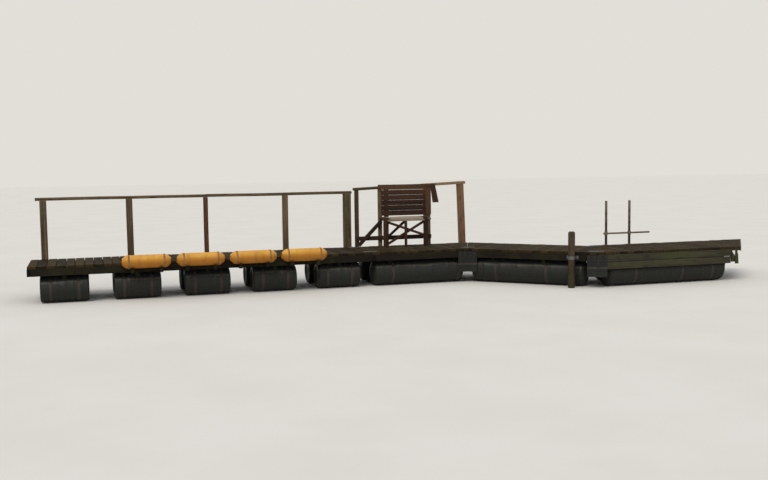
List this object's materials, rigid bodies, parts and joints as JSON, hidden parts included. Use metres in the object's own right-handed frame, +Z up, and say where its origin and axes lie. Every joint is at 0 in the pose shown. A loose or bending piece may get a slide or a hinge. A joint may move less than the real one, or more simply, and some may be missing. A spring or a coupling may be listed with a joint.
{
  "type": "floating wooden jetty",
  "caption": "Floating wooden jetty: railed walkway with yellow side floats, landing with a bench, and two linked outer sections on plastic floats.",
  "frame": {"origin": "on the ground under the middle of the whole jetty's box", "axes": "+X out along the walkway to the open end, +Y towards the railed far side, +Z up"},
  "size_m": [11.4848, 2.7148, 1.59],
  "materials": {
    "deck_boards": "wet weathered deck boards, dark grey-brown",
    "frame_timber": "damp dark framing timber",
    "rail_timber": "weathered grey-brown rail timber",
    "dark_timber": "dark brown stained boards",
    "seat_timber": "pale weathered seat planks",
    "olive_timber": "olive-brown wet boards with algae",
    "stake_timber": "dark round stake with bark",
    "black_plastic": "black moulded polyethylene, weathered",
    "yellow_plastic": "faded ochre-yellow moulded plastic",
    "galvanised_steel": "dull galvanised steel"
  },
  "bodies": {
    "root": {"walkway_deck": "deck_boards", "walkway_stringers": "frame_timber", "walkway_crossbeams": "frame_timber", "walkway_near_barrels": "black_plastic", "walkway_far_barrels": "black_plastic", "walkway_cradles": "frame_timber", "yellow_float_1": "yellow_plastic", "yellow_float_2": "yellow_plastic", "yellow_float_3": "yellow_plastic", "yellow_float_4": "yellow_plastic", "yellow_float_bearers": "frame_timber", "yellow_float_straps": "galvanised_steel", "landing_deck": "deck_boards", "landing_stringers": "frame_timber", "landing_crossbeams": "frame_timber", "landing_near_pontoon": "black_plastic", "landing_far_pontoon": "black_plastic", "landing_cradles": "frame_timber", "middle_deck": "deck_boards", "middle_stringers": "frame_timber", "middle_crossbeams": "frame_timber", "middle_near_pontoon": "black_plastic", "middle_far_pontoon": "black_plastic", "middle_cradles": "frame_timber", "outer_deck": "deck_boards", "outer_stringers": "frame_timber", "outer_crossbeams": "frame_timber", "outer_near_pontoon": "black_plastic", "outer_far_pontoon": "black_plastic", "outer_cradles": "frame_timber", "outer_skirt": "olive_timber", "float_straps": "galvanised_steel", "section_links": "galvanised_steel", "walkway_posts": "rail_timber", "landing_posts": "rail_timber", "walkway_handrail": "rail_timber", "landing_handrail": "rail_timber", "lower_rail": "dark_timber", "rail_brace": "dark_timber", "bench_back": "dark_timber", "bench_seat": "seat_timber", "bench_front_frame": "dark_timber", "end_step": "olive_timber", "grab_rail": "galvanised_steel", "mooring_stake": "stake_timber"}
  },
  "joints": []
}
